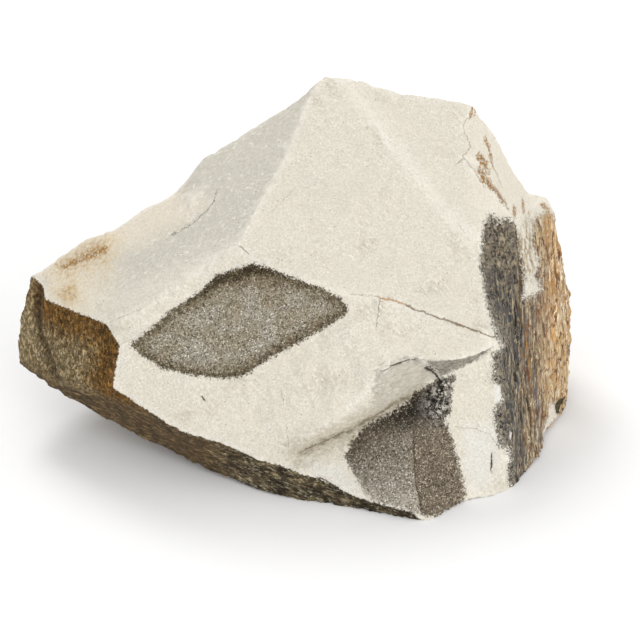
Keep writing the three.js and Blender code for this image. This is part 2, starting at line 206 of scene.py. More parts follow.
# Cracks and hairlines, and three dark lines of painted shade under the lip's top edge and down the crease:
# half their width, how rusty they are from 0 to 1, and their run.
CRACKS = [
    (0.05, 0.3, [(10, 37.5), (15.5, 36.5)]),
    (0.1, 1.0, [(15.5, 36.5), (18.5, 35.6), (20.5, 34.8)]),
    (0.11, 0.3, [(20.5, 34.8), (27, 32), (34.5, 29), (38, 27.6)]),
    (0.07, 0.0, [(15.5, 36), (15, 32)]),
    (0.07, 0.0, [(-15.5, 49.5), (-16.5, 48), (-18.5, 46.5), (-20.5, 45), (-24, 43)]),
    (0.08, 0.3, [(-10.5, 45.5), (-9, 44.5)]),
    (0.04, 0.7, [(-0.5, 52), (-3, 50.5), (-5, 49.5)]),
    (0.06, 0.2, [(-3, 20), (-2.5, 18.5)]),
    (0.05, 0.2, [(-2, 14), (-1.5, 10.5)]),
    (0.04, 0.2, [(-36.5, 30.5), (-33.5, 32), (-29, 34.5)]),
    (0.04, 0.2, [(-33.7, 27.5), (-31.4, 28.5)]),
    (0.05, 0.5, [(31, 43.4), (31.8, 42.4)]),
    (0.15, 0.0, [(37.3, 7), (37.3, 4.4)]),
    (0.07, 0.6, [(34.2, 57.4), (33.4, 57.3), (32.7, 56.6), (32.9, 55.6), (33.8, 54.1), (34.2, 53.1)]),
    (0.07, 0.4, [(34.2, 53.1), (32.6, 52.3), (31.5, 51.6)]),
    (0.04, 0.6, [(32.9, 55.6), (32.2, 55.2)]),
    (0.06, 0.4, [(32.6, 52.3), (34.7, 50.2), (35.8, 48.6), (36.6, 47.6)]),
    (0.06, 0.7, [(38.6, 48.9), (40.4, 46)]),
    (0.08, 0.5, [(37.2, 48.6), (37.5, 47.6), (39.1, 46.2), (40.9, 43.8), (41.8, 42.5)]),
    (0.14, 0.3, [(43.4, 39.9), (43.9, 33.5), (43.8, 26.2), (44.2, 24)]),
    (0.12, 0.0, [(44.2, 24), (44.1, 21)]),
    (0.1, 0.8, [(44.1, 21), (44.5, 16), (45, 12)]),
    (0.12, 0.0, [(45, 12), (45.5, 9), (45.7, 6.3)]),
    (0.1, 1.0, [(45.1, 24.5), (45.3, 19), (46, 12), (46.7, 6)]),
    (0.4, 0.0, [(24.4, 23.6), (25.2, 23)]),
    (0.18, 0.0, [(25.2, 23), (26.2, 22), (27.2, 20.6)]),
    (0.07, 0.0, [(24.9, 24.6), (26.6, 23.2), (28.2, 22.4)]),
    (0.35, 0.0, [(27, 20), (27.4, 19.6)]),
    # The next two are painted shadow under the top edge of the lip.
    (0.08, 0.1, [(15.6, 24.6), (16.4, 24.5), (17.9, 24.9)]),
    (0.15, 0.1, [(17.9, 24.9), (20.5, 25.4), (22.4, 25.9)]),
    (0.04, 0.4, [(15.6, 24.4), (15.3, 20.3)]),
    (0.12, 0.1, [(4, 4.8), (7.2, 3.7)]),
    # The next one is painted shade down the crease.
    (0.05, 0.2, [(21, 17.8), (19.5, 17.4), (16, 15.8), (10, 12.8), (4.5, 10.8), (0.5, 9)]),
    (0.1, 0.2, [(22.1, 14), (22.3, 6), (23.5, 1.5)]),
    (0.05, 0.2, [(30, 13), (33.9, 12.2), (36.8, 10.9), (38.2, 8.7)]),
    (0.2, 0.0, [(-17.8, 18.2), (-17.7, 18.1)]),
]

elevation = points[:, [0, 2]] / MM


def distance_across(run):
    """Millimetres from each vertex to a run of straight stretches, negative on its right."""
    nearest = np.full(len(elevation), np.inf)
    side = np.ones(len(elevation))
    for start, end in zip(np.array(run[:-1]), np.array(run[1:])):
        along = end - start
        share = np.clip((elevation - start) @ along / (along @ along), 0, 1)
        away = elevation - start - share[:, None] * along
        length = np.hypot(away[:, 0], away[:, 1])
        nearer = length < nearest
        nearest = np.where(nearer, length, nearest)
        side = np.where(nearer, np.sign(along[0] * away[:, 1] - along[1] * away[:, 0]), side)
    return nearest * side


def depth_inside(outline):
    """Millimetres from each vertex to a closed outline, positive inside it."""
    x, z = elevation.T
    odd = np.zeros(len(elevation), dtype=bool)
    for (x0, z0), (x1, z1) in zip(outline, outline[1:] + outline[:1]):
        if z0 != z1:
            odd ^= ((z0 > z) != (z1 > z)) & (x < x0 + (z - z0) / (z1 - z0) * (x1 - x0))
    return np.abs(distance_across(outline + outline[:1])) * np.where(odd, 1, -1)


normals = np.empty(len(stone_mesh.vertices) * 3)
stone_mesh.vertices.foreach_get("normal", normals)
normals = normals.reshape(-1, 3)
looks_forward = normals @ np.array(FRONT) > 0

# Each vertex keeps what belongs to its nearest crack, and its distance to the nearest crisp edge.
widths = np.array([width for width, _, _ in CRACKS])
rustiness = np.array([rusty for _, rusty, _ in CRACKS])
across = np.array([distance_across(run) for _, _, run in CRACKS])
which = (np.abs(across) - widths[:, None]).argmin(0)
across = across[which, np.arange(len(points))]
crisp_tree = kdtree.KDTree(int(on_crisp.sum()))
for index in np.flatnonzero(on_crisp):
    crisp_tree.insert(points[index], index)
crisp_tree.balance()

# The rim of the lens is broader about its top: where that is, how far it reaches, and how much is added.
LENS_TOP = (-11, 42)
TOP_REACH = (7.75, 5.16)
TOP_RIM = 1.8
at_top = np.exp(-(((elevation - LENS_TOP) / TOP_REACH) ** 2).sum(1))
bare = np.max([depth_inside(outline) for outline in BARE], 0)
# How far outside every front outline a vertex counts that looks away, and where the dark side ends at the
# back, both in millimetres.
FAR = 20.0
SIDE_BEHIND = 42
front_fields = {
    "lens": depth_inside(LENS),
    "lens_rim": depth_inside(LENS) - TOP_RIM * at_top,
    "fan": depth_inside(FAN),
    "under_lip": depth_inside(UNDER_LIP),
    "hollow_shade": depth_inside(HOLLOW),
    "slope": depth_inside(SLOPE),
    "blush": depth_inside(BLUSH),
    "flake": depth_inside(FLAKE),
    "film": np.max([depth_inside(outline) for outline in FILMS], 0),
    "rust": np.max([width - np.abs(distance_across(run)) for width, run in RUST], 0),
    "chalk": np.max([depth_inside(outline) for outline in CHALK], 0),
    "chip": np.max([depth_inside(outline) for outline in CHIPS], 0),
    "pocket": depth_inside(POCKET),
    "tongue": depth_inside(TONGUE),
    "gritty": depth_inside(GRITTY),
    "crumpled": depth_inside(CRUMPLED),
    "crease": -np.abs(distance_across(CREASE)),
    "gutter": -np.abs(distance_across(GUTTER)),
    "swell": -np.abs(distance_across(SWELL)),
    "crack_near": -np.abs(across),
}
fields = {name: np.where(looks_forward, values, -FAR) for name, values in front_fields.items()}
fields |= {
    "fan_right": distance_across(FAN_SEAM),
    "leftward": -normals[:, 0],
    "skin_behind": np.where(looks_forward, -FAR, depth_inside(BACK_SKIN)),
    "skin": np.where(looks_forward, depth_inside(FRONT_SKIN), depth_inside(BACK_SKIN)),
    "dark_side": np.where(looks_forward, np.minimum(depth_inside(DARK_SIDE), -bare),
                          np.minimum(elevation[:, 0] - SIDE_BEHIND, depth_inside(BACK_SKIN))),
    "crack_across": across,
    "crack_width": widths[which],
    "crack_rust": rustiness[which],
    "edge": -np.array([crisp_tree.find(point)[2] for point in points]) / MM,
}
for name, values in fields.items():
    stone_mesh.attributes.new(name, "FLOAT", "POINT").data.foreach_set("value", values)

stone = bpy.data.objects.new("stone_block", stone_mesh)
bpy.context.scene.collection.objects.link(stone)


def add(tree, kind, feeds=None, **settings):
    """Adds a node: its settings, and for each socket a value, or the node or socket that feeds it."""
    node = tree.nodes.new(kind)
    for name, value in settings.items():
        setattr(node, name, value)
    sockets = [socket for socket in node.inputs if socket.enabled]
    for key, value in (feeds or {}).items():
        socket = sockets[key] if isinstance(key, int) else next(one for one in sockets if one.name == key)
        if isinstance(value, bpy.types.Node):
            value = next(one for one in value.outputs if one.enabled)
        if isinstance(value, bpy.types.NodeSocket):
            tree.links.new(value, socket)
        else:
            socket.default_value = value
    return node


def within(tree, field, outside, inside):
    """A soft mask from an attribute: 0 at the outside value, 1 at the inside one."""
    if tree.bl_idname == "GeometryNodeTree":
        depth = add(tree, "GeometryNodeInputNamedAttribute", {"Name": field}, data_type="FLOAT").outputs[0]
    else:
        depth = add(tree, "ShaderNodeAttribute", attribute_name=field).outputs["Fac"]
    return add(tree, "ShaderNodeMapRange", {"Value": depth, "From Min": outside, "From Max": inside},
               interpolation_type="SMOOTHSTEP")


# Which way things run: the fibres of the dark side and of the left end, the layers of the strip below the
# front, the ripples of the scar, the break of the big face and of the slope, the crumples of the low front.
SIDE_WAY = (-0.05, 0.62, 0.78)
END_WAY = (0.0, 0.4, 0.92)
STRIP_WAY = (0.93, -0.33, -0.18)
CREASE_WAY = (-0.913, -0.087, -0.398)
BREAK_WAY = (0.69, -0.45, -0.56)
SLOPE_WAY = (0.82, 0.23, 0.53)
CRUMPLE_WAY = (-0.44, 0.33, 0.83)


def drawn_along(tree, place, way, keep):
    """Places squeezed along a direction to this share, so that a pattern on them is drawn out that way."""
    travel = add(tree, "ShaderNodeVectorMath", {0: place, 1: way}, operation="DOT_PRODUCT").outputs["Value"]
    spare = add(tree, "ShaderNodeMath", {0: travel, 1: keep - 1.0}, operation="MULTIPLY")
    shift = add(tree, "ShaderNodeVectorMath", {0: way, "Scale": spare}, operation="SCALE")
    return add(tree, "ShaderNodeVectorMath", {0: place, 1: shift}, operation="ADD")


# The relief: soft undulations and a fine roughness everywhere, the swell, the flake, the gutter and the
# pocket, crumples and ripples, bark-like ridges and furrows on the dark side, sunken inclusions, grooves
# along the cracks, and small chips off the crisp edges. Each has its depth, and its size if it repeats.
RELIEF = {
    "Undulation": 0.45 * MM,
    "Undulation size": 16 * MM,
    "Roughness": 0.13 * MM,
    "Roughness size": 1.8 * MM,
    "Swell": 0.3 * MM,
    "Flake": 0.35 * MM,
    "Crumple": 0.6 * MM,
    "Crumple size": 2.6 * MM,
    "Ripple": 0.15 * MM,
    "Ripple size": 1.2 * MM,
    "Ridge": 0.7 * MM,
    "Ridge size": 3.2 * MM,
    "Lump": 0.35 * MM,
    "Lump size": 2.4 * MM,
    "Furrow": 0.35 * MM,
    "Furrow size": 1.1 * MM,
    "Skin": 0.3 * MM,
    "Gutter": 0.6 * MM,
    "Undercut": 0.5 * MM,
    "Pocket": 0.9 * MM,
    "Recess": 0.12 * MM,
    "Groove": 0.45 * MM,
    "Chip": 0.7 * MM,
    "Chip size": 2.2 * MM,
}
relief = bpy.data.node_groups.new("broken_relief", "GeometryNodeTree")
relief.interface.new_socket("Geometry", in_out="INPUT", socket_type="NodeSocketGeometry")
for name in RELIEF:
    relief.interface.new_socket(name, in_out="INPUT", socket_type="NodeSocketFloat")
relief.interface.new_socket("Material", in_out="INPUT", socket_type="NodeSocketMaterial")
relief.interface.new_socket("Geometry", in_out="OUTPUT", socket_type="NodeSocketGeometry")
entry = add(relief, "NodeGroupInput")
place = add(relief, "GeometryNodeInputPosition")


def bumps(size_name, detail, roughness, vector=place):
    """Noise between about -1 and 1 whose features have the size that an input gives."""
    scale = add(relief, "ShaderNodeMath", {0: 1.0, 1: entry.outputs[size_name]}, operation="DIVIDE")
    noise = add(relief, "ShaderNodeTexNoise",
                {"Vector": vector, "Scale": scale, "Detail": detail, "Roughness": roughness})
    return add(relief, "ShaderNodeMapRange", {"Value": noise, "From Min": 0.25, "From Max": 0.75,
                                              "To Min": -1.0, "To Max": 1.0}, clamp=False)


def raised(height, pattern, depth_name, mask=1.0):
    """The height so far, with a pattern of the depth that an input gives added where the mask lets it."""
    deep = add(relief, "ShaderNodeMath", {0: pattern, 1: entry.outputs[depth_name]}, operation="MULTIPLY")
    return add(relief, "ShaderNodeMath", {0: deep, 1: mask, 2: height}, operation="MULTIPLY_ADD")


height = raised(0.0, bumps("Undulation size", 2.0, 0.5), "Undulation")
height = raised(height, bumps("Roughness size", 5.0, 0.7), "Roughness")
height = raised(height, 1.0, "Swell", within(relief, "swell", -3.0, 0.0))
crumples = bumps("Crumple size", 4.0, 0.6, drawn_along(relief, place, CRUMPLE_WAY, 0.45))
height = raised(height, crumples, "Crumple", within(relief, "crumpled", -4.0, 3.0))
height = raised(height, 1.0, "Flake", within(relief, "flake", -0.3, 0.4))
height = raised(height, -1.0, "Gutter", within(relief, "gutter", -1.5, -0.2))
ripples = bumps("Ripple size", 3.0, 0.6, drawn_along(relief, place, CREASE_WAY, 0.3))
height = raised(height, ripples, "Ripple", within(relief, "crease", -4.5, -0.5))
side_mask = within(relief, "dark_side", -0.4, 0.8)
side_place = drawn_along(relief, place, SIDE_WAY, 0.08)
height = raised(height, bumps("Ridge size", 3.0, 0.55, side_place), "Ridge", side_mask)
height = raised(height, bumps("Furrow size", 5.0, 0.65, side_place), "Furrow", side_mask)
height = raised(height, bumps("Lump size", 4.0, 0.65), "Lump", side_mask)
skin_place = drawn_along(relief, place, END_WAY, 0.4)
height = raised(height, bumps("Furrow size", 4.0, 0.6, skin_place), "Skin", within(relief, "skin", 0.0, 0.8))
height = raised(height, -1.0, "Pocket", within(relief, "pocket", -0.2, 0.7))
height = raised(height, -1.0, "Undercut", within(relief, "under_lip", -0.4, 0.6))
height = raised(height, -1.0, "Recess", within(relief, "lens", -0.3, 0.8))
height = raised(height, -1.0, "Recess", within(relief, "fan", -0.3, 0.8))
in_groove = add(relief, "ShaderNodeMath", {0: within(relief, "crack_near", -0.7, -0.1),
                                           1: within(relief, "crack_width", 0.05, 0.15)},
                operation="MULTIPLY")
height = raised(height, -1.0, "Groove", in_groove)
bite = add(relief, "ShaderNodeMapRange", {"Value": bumps("Chip size", 3.0, 0.6), "From Min": 0.0,
                                          "From Max": 1.2, "To Max": -1.0})
height = raised(height, bite, "Chip", within(relief, "edge", -1.6, 0.0))
normal = add(relief, "GeometryNodeInputNormal")
offset = add(relief, "ShaderNodeVectorMath", {0: normal, "Scale": height}, operation="SCALE")
moved = add(relief, "GeometryNodeSetPosition", {"Geometry": entry, "Offset": offset})
# Nothing goes below the surface that the stone rests on.
on_floor = add(relief, "ShaderNodeVectorMath", {0: place, 1: (-1.0, -1.0, 0.0)}, operation="MAXIMUM")
settled = add(relief, "GeometryNodeSetPosition", {"Geometry": moved, "Position": on_floor})
real = add(relief, "GeometryNodeRealizeInstances", {"Geometry": settled})
dressed = add(relief, "GeometryNodeSetMaterial", {"Geometry": real, "Material": entry.outputs["Material"]})
add(relief, "NodeGroupOutput", {"Geometry": dressed})


# Zeolite tuff: volcanic ash turned to a compact, chalky mass of zeolite grains too small to see. Broken, it
# is dull and even, cream with faint mottling, and it scatters light like unglazed porcelain. The same body
# carries grey-brown patches of sugary crystals, and the skins that iron and weather left on its old joints.
def linear(code):
    """A shader colour from an sRGB hex code."""
    parts = [int(code[i:i + 2], 16) / 255 for i in (1, 3, 5)]
    return tuple(c / 12.92 if c <= 0.04045 else ((c + 0.055) / 1.055) ** 2.4 for c in parts) + (1.0,)


tuff = bpy.data.materials.new("zeolite_tuff")
tuff.use_nodes = True
rock = tuff.node_tree
rock.nodes.clear()
where = add(rock, "ShaderNodeTexCoord").outputs["Object"]
axes = add(rock, "ShaderNodeSeparateXYZ", {"Vector": where})
# How far a pattern may shift a border, in millimetres.
WANDER = 4


def clouds(size, low, high, vector=where, detail=4.0, roughness=0.65):
    """Noise with features of about this many millimetres, stretched so that low becomes 0 and high 1."""
    noise = add(rock, "ShaderNodeTexNoise", {"Vector": vector, "Scale": 1 / (size * MM), "Detail": detail,
                                             "Roughness": roughness})
    return add(rock, "ShaderNodeMapRange", {"Value": noise, "From Min": low, "From Max": high})


def between(axis, start, end, wander=0.0):
    """0 to 1 as a coordinate of the part goes from start to end, in millimetres, shifted by a pattern."""
    at = add(rock, "ShaderNodeMath", {0: wander, 1: WANDER * MM, 2: axes.outputs[axis]},
             operation="MULTIPLY_ADD")
    return add(rock, "ShaderNodeMapRange", {"Value": at, "From Min": start * MM, "From Max": end * MM})


def tinted(share, dark, light, *tints):
    """A colour between two by share, then each tint over it: its cover, its strength, its code."""
    colour = add(rock, "ShaderNodeMix", {"Factor": share, "A": linear(dark), "B": linear(light)},
                 data_type="RGBA")
    for cover, strength, code in tints:
        factor = add(rock, "ShaderNodeMath", {0: cover, 1: strength}, operation="MULTIPLY")
        colour = add(rock, "ShaderNodeMix", {"Factor": factor, "A": colour, "B": linear(code)},
                     data_type="RGBA")
    return colour


def faced(colour, pattern, depth):
    """A finish: its colour, and its height for the bump, from a pattern and a depth in millimetres."""
    return colour, add(rock, "ShaderNodeMath", {0: pattern, 1: depth * MM}, operation="MULTIPLY")


def ragged(field, outside, inside, reach, fray):
    """A mask from an attribute whose border a frayed pattern shifts by up to reach millimetres."""
    shift = add(rock, "ShaderNodeMapRange", {"Value": fray, "To Min": -reach, "To Max": reach})
    depth = add(rock, "ShaderNodeAttribute", attribute_name=field).outputs["Fac"]
    shifted = add(rock, "ShaderNodeMath", {0: depth, 1: shift}, operation="ADD")
    return add(rock, "ShaderNodeMapRange", {"Value": shifted, "From Min": outside, "From Max": inside},
               interpolation_type="SMOOTHSTEP")


def laid(below, above, cover, strength=1.0):
    """One finish over another, as far as its cover and its strength say."""
    share = add(rock, "ShaderNodeMath", {0: cover, 1: strength}, operation="MULTIPLY")
    colour = add(rock, "ShaderNodeMix", {"Factor": share, "A": below[0], "B": above[0]}, data_type="RGBA")
    height = add(rock, "ShaderNodeMix", {"Factor": share, "A": below[1], "B": above[1]}, data_type="FLOAT")
    return colour, height


fray = clouds(0.9, 0.3, 0.7, roughness=0.75)
fine_fray = clouds(0.45, 0.3, 0.7, roughness=0.8)
grain = clouds(0.4, 0.35, 0.65, detail=3.0, roughness=0.85)

# The broken face: cream, nearly smooth in places, rough and streaked along the break in others, with fine
# dark pits up to 0.3 mm across in about a third of its 0.9 mm patches.
PIT_SPACING = 0.9
pits = add(rock, "ShaderNodeTexVoronoi", {"Vector": where, "Scale": 1 / (PIT_SPACING * MM)})
pit_pick = add(rock, "ShaderNodeSeparateColor", {"Color": pits.outputs["Color"]})
pit_size = add(rock, "ShaderNodeMapRange", {"Value": pit_pick, "From Min": 0.62, "From Max": 1.0,
                                            "To Min": 0.0, "To Max": 0.16})
pit = add(rock, "ShaderNodeMath", {0: pits.outputs["Distance"], 1: pit_size}, operation="LESS_THAN")
rough_ground = clouds(7, 0.4, 0.68, detail=5.0)
streak = clouds(0.5, 0.45, 0.65, drawn_along(rock, where, BREAK_WAY, 0.35), detail=5.0, roughness=0.85)
smooth = tinted(grain, "#dbd3c1", "#fbf6ea", (clouds(9, 0.45, 0.65), 0.5, "#ece4d2"), (pit, 0.5, "#8d8370"))
rough = tinted(grain, "#d8cfbc", "#f9f3e5", (streak, 0.3, "#d2c8b4"), (pit, 0.8, "#71674f"))
finish = laid(faced(smooth, grain, 0.12), faced(rough, streak, -0.12), rough_ground)

# The slope has a cooler, blotchy bloom of fine grey crystals, thinner towards its foot, and a warmer plate.
on_slope = add(rock, "ShaderNodeMath", {0: ragged("slope", -0.8, 3.5, 1.2, fray),
                                        1: within(rock, "leftward", 0.1, 0.3)}, operation="MULTIPLY")
scratch = clouds(0.5, 0.42, 0.62, drawn_along(rock, where, SLOPE_WAY, 0.6), detail=5.0, roughness=0.85)
bloom = tinted(grain, "#eae1cf", "#fffef3", (clouds(5, 0.42, 0.62), 0.4, "#fdf6e8"),
               (scratch, 0.4, "#dad0bd"), (pit, 0.6, "#7d7464"))
finish = laid(finish, faced(bloom, scratch, -0.14), on_slope, between("Z", 22, 38))
blush = tinted(grain, "#e0d1ba", "#fff3e0")
finish = laid(finish, faced(blush, grain, 0.1), ragged("blush", -0.8, 1.8, 1.0, fray), 0.6)

# Thin yellow rust lies on its tip, with a paler haze about it and above the skin at the back.
haze = tinted(grain, "#d2b686", "#efdebc")
finish = laid(finish, faced(haze, grain, 0.1), ragged("film", -5.0, 0.5, 2.5, fray), 0.55)
above_skin = ragged("skin_behind", -7.0, 0.0, 4.0, clouds(5, 0.35, 0.65))
finish = laid(finish, faced(haze, grain, 0.1), above_skin, 0.6)
film = tinted(clouds(0.9, 0.35, 0.65), "#93602a", "#d8b880")
finish = laid(finish, faced(film, grain, 0.1), ragged("film", -1.0, 0.8, 1.6, fray), clouds(0.8, 0.4, 0.6))

# The shoulder above the dark side is warmer and cleaner. Chalky ground, whiter and cooler, lies on both sides
# of the fan.
shoulder = tinted(grain, "#e9dfca", "#fff9ec")
finish = laid(finish, faced(shoulder, grain, 0.12), between("X", 32, 37), between("Z", 38, 44))
chalk = tinted(grain, "#dcdad1", "#f7f6f1")
finish = laid(finish, faced(chalk, grain, 0.1), ragged("chalk", -1.5, 1.5, 1.8, fray), 0.6)

# Crisp edges and the crest of the swell are painted paler as a highlight, on the edges also a little wear.
highlight_and_wear = tinted(grain, "#f6f0e2", "#fffcf4")
finish = laid(finish, faced(highlight_and_wear, grain, 0.05), ragged("edge", -1.4, -0.1, 0.9, fray), 0.3)
finish = laid(finish, faced(highlight_and_wear, grain, 0.05), ragged("swell", -2.2, 0.2, 1.8, fray), 0.35)

# The foot of the scar's wall is yellower and wrinkled, with painted shade along its crease. The hollow beside
# it is rippled and painted grey as shade, and the underside of the lip is painted darker as shade.
ripple = clouds(0.6, 0.35, 0.65, drawn_along(rock, where, CREASE_WAY, 0.3), detail=5.0, roughness=0.75)
wall = tinted(ripple, "#b9a988", "#eee5d0")
finish = laid(finish, faced(wall, ripple, 0.5), ragged("crease", -4.5, -0.2, 2.2, fray), 0.6)
# The hollow's grey is painted shade under the lip.
hollow_shade = tinted(ripple, "#c6bda9", "#fbf5e7", (clouds(1.5, 0.45, 0.6), 0.4, "#f2ebdc"))
finish = laid(finish, faced(hollow_shade, ripple, 0.35), ragged("hollow_shade", -1.0, 1.4, 1.2, ripple), 0.9)
# Painted shade along the crease, dark and ragged.
crease_shade = tinted(fine_fray, "#5a4c38", "#b4a382")
finish = laid(finish, faced(crease_shade, ripple, 0.3), ragged("crease", -0.8, 0.1, 0.8, ripple), 0.8)
# The lip's underside is painted darker grey as shade.
lip_shade = tinted(clouds(0.6, 0.3, 0.7), "#746e62", "#bbb5a8")
finish = laid(finish, faced(lip_shade, grain, 0.1), ragged("under_lip", -0.15, 0.25, 0.3, fine_fray))

# The inclusions: a sugary mass of tiny grey-brown crystals, their faces this many millimetres across, with a
# darker, fuzzy rim. One crystal in eight is painted bright as a glint, and one in five painted dark as shade.
CRYSTAL_FACE = 0.22
packed = add(rock, "ShaderNodeTexVoronoi", {"Vector": where, "Scale": 1 / (CRYSTAL_FACE * MM)})
facet = add(rock, "ShaderNodeSeparateColor", {"Color": packed.outputs["Color"]})
glint = add(rock, "ShaderNodeMapRange", {"Value": facet.outputs["Green"], "From Min": 0.84,
                                         "From Max": 0.92})
shade = add(rock, "ShaderNodeMapRange", {"Value": facet.outputs["Blue"], "From Min": 0.26,
                                         "From Max": 0.14})


def sugary(dark, light, bright, deep):
    """A finish of packed crystals: their usual tones, and those painted bright as a glint and dark as shade.
    """
    return faced(tinted(facet, dark, light, (shade, 0.85, deep), (glint, 0.85, bright)), facet, 0.12)


rim = sugary("#3e3325", "#5e513b", "#8f836b", "#1f180f")
lens = laid(sugary("#a59e8e", "#bfb8a9", "#f4efe4", "#605849"),
            sugary("#988d77", "#b0a58f", "#e2dac8", "#574c3b"), clouds(4, 0.42, 0.6))
lens = laid(lens, sugary("#85755b", "#9c8b70", "#cfc2a8", "#4c3f2e"), between("Z", 37, 42))
lens = laid(sugary("#776a52", "#908369", "#c5baa2", "#3f3425"), lens, ragged("lens_rim", 0.3, 3.2, 1.4, fray))
lens = laid(rim, lens, ragged("lens_rim", -0.3, 1.2, 0.9, fray))
finish = laid(finish, lens, ragged("lens", -0.1, 0.15, 0.75, fine_fray))

# The fan: darker to its left, dusted pale at its foot, brown right of its seam, and almost black with white
# crumbs where it runs up under the lip.
fan = laid(sugary("#625849", "#776c5a", "#b5ab98", "#332c21"),
           sugary("#857c6c", "#9f9686", "#dfd8c9", "#463e30"), ragged("fan", 0.5, 5.5, 1.2, fray))
fan = laid(fan, sugary("#a9a191", "#c6beb0", "#fffaf0", "#6a6151"), between("Z", 9, 3))
right_zone = ragged("fan_right", -0.2, 0.4, 0.3, fine_fray)
fan = laid(fan, sugary("#7e7161", "#978a76", "#d8cebb", "#433a2f"), right_zone)
crumbs = clouds(0.8, 0.46, 0.52, roughness=0.75)
fan_top = laid(sugary("#25211b", "#433c32", "#8b8374", "#0f0d09"),
               faced(tinted(grain, "#b5ad9e", "#f6f0e4"), crumbs, 0.4), crumbs, between("X", 22.5, 28.5))
fan = laid(fan, fan_top, between("Z", 12.5, 15.5))
fan = laid(fan, laid(rim, fan, ragged("fan", -0.3, 1.0, 0.7, fray)), between("Z", 4, 9))
finish = laid(finish, fan, ragged("fan", -0.1, 0.15, 0.9, fine_fray))

# The brown skin of an old joint: clay and iron, rusty near its border, paler at the tip of its end, layered
# and black-specked on the strip below.
fibre = clouds(0.6, 0.42, 0.58, drawn_along(rock, where, END_WAY, 0.6), detail=3.0, roughness=0.75)
layer = clouds(0.7, 0.42, 0.58, drawn_along(rock, where, STRIP_WAY, 0.35), detail=4.0, roughness=0.75)
soot = clouds(0.9, 0.52, 0.58, drawn_along(rock, where, STRIP_WAY, 0.5), detail=5.0, roughness=0.75)
black = clouds(2.2, 0.48, 0.54, drawn_along(rock, where, STRIP_WAY, 0.4), detail=5.0, roughness=0.75)
fleck = clouds(0.7, 0.56, 0.61, drawn_along(rock, where, END_WAY, 0.6), detail=3.0)
pale_scale = clouds(0.6, 0.54, 0.6, drawn_along(rock, where, STRIP_WAY, 0.3), detail=5.0, roughness=0.8)
clay = tinted(fibre, "#66532f", "#c0a87c", (clouds(3, 0.42, 0.6), 0.45, "#9f9175"),
              (soot, 0.55, "#483a22"), (fleck, 0.6, "#e6d3ad"))
rusty = tinted(fibre, "#46300f", "#946c31", (clouds(2.5, 0.45, 0.62), 0.45, "#9a7038"),
               (soot, 0.6, "#33230f"), (fleck, 0.4, "#cfa76c"))
pale_clay = tinted(fibre, "#806a40", "#ead5a9")
layered = tinted(layer, "#493c2a", "#8a7352", (soot, 0.5, "#2c2318"),
                 (clouds(5, 0.45, 0.6), 0.4, "#7d6546"), (pale_scale, 0.3, "#c4aa82"))
sooty = tinted(layer, "#4a3f2c", "#8f7f60", (black, 0.75, "#221b13"), (pale_scale, 0.65, "#e2d5b6"))
skin = laid(faced(rusty, fibre, 0.4), faced(clay, fibre, 0.45), ragged("skin", 2.5, 8.0, 2.0, fray))
skin = laid(skin, faced(pale_clay, fibre, 0.45), between("X", -50.5, -53), 0.5)
strip = laid(faced(layered, layer, 0.4), faced(sooty, layer, 0.5), between("X", -16, -7, fray))
skin = laid(skin, strip, between("Z", 17, 14))
# The gutter is painted dark as shadow in its groove.
gutter = tinted(fibre, "#2b2114", "#5c4a30")
skin = laid(skin, faced(gutter, fibre, 0.3), ragged("gutter", -1.5, -0.3, 0.5, fray), 0.7)
finish = laid(finish, skin, ragged("skin", -0.08, 0.12, 0.3, fine_fray))

# The dark side: a bark of slate-grey, umber and ochre fibres, black-speckled where it meets the tuff.
side_grain = drawn_along(rock, where, SIDE_WAY, 0.07)
strand = clouds(0.45, 0.42, 0.58, side_grain, detail=4.0, roughness=0.7)
column = clouds(2.2, 0.46, 0.56, drawn_along(rock, where, SIDE_WAY, 0.2), detail=4.0)
pale_strand = clouds(0.5, 0.55, 0.6, side_grain, detail=3.0)
dark_strand = clouds(0.55, 0.55, 0.59, drawn_along(rock, where, SIDE_WAY, 0.1), detail=3.0)
speck = clouds(1.0, 0.56, 0.6, drawn_along(rock, where, SIDE_WAY, 0.6), detail=3.0)


def fibrous(dark, light, patch, pale, deep, spot):
    """A bark-like finish: the fibres' tones, broad patches, pale strands, deep gaps and specks."""
    return faced(tinted(strand, dark, light, (column, 0.7, patch), (pale_strand, 0.75, pale),
                        (dark_strand, 0.75, deep), (speck, 0.7, spot)), strand, 0.25)


drift = clouds(3, 0.3, 0.7, drawn_along(rock, where, SIDE_WAY, 0.3))
slate = fibrous("#444547", "#857f76", "#656260", "#c9b590", "#1b1815", "#c2b08d")
umber = fibrous("#8b745a", "#dcc6a1", "#6b6b71", "#f5e3bd", "#3a2b1c", "#7d4727")
ochre = fibrous("#dcae6e", "#f6e4c0", "#cf9a5f", "#fff3da", "#835830", "#61280f")
side = laid(laid(slate, umber, between("X", 44.5, 47, drift)), ochre, between("X", 49.5, 53, drift))
speckle = tinted(clouds(0.5, 0.46, 0.54, detail=2.0), "#15130f", "#827c73", (crumbs, 0.25, "#e5d8bd"))
by_border = ragged("dark_side", 2.4, 0.1, 1.2, fray)
side = laid(side, faced(speckle, fray, 0.25), by_border, between("X", 42.5, 40.5))
grit = tinted(clouds(0.6, 0.45, 0.55, detail=2.0), "#1f1a14", "#8d7f6b",
              (clouds(2, 0.5, 0.6), 0.6, "#d8caab"))
side = laid(side, faced(grit, fray, 0.25), ragged("gritty", -1.5, 1.5, 1.5, fray), 0.7)
stain = tinted(fine_fray, "#7c6243", "#e2cfa8")
stained = clouds(0.8, 0.46, 0.56, drawn_along(rock, where, SIDE_WAY, 0.4), roughness=0.8)
finish = laid(finish, faced(stain, fine_fray, 0.2), ragged("tongue", -0.8, 0.8, 1.0, fray), stained)
finish = laid(finish, side, ragged("dark_side", -0.15, 0.15, 1.1, fine_fray))
pocket = tinted(fray, "#2b2619", "#5d5540")
finish = laid(finish, faced(pocket, fray, 0.0), ragged("pocket", -0.1, 0.2, 0.2, fray))
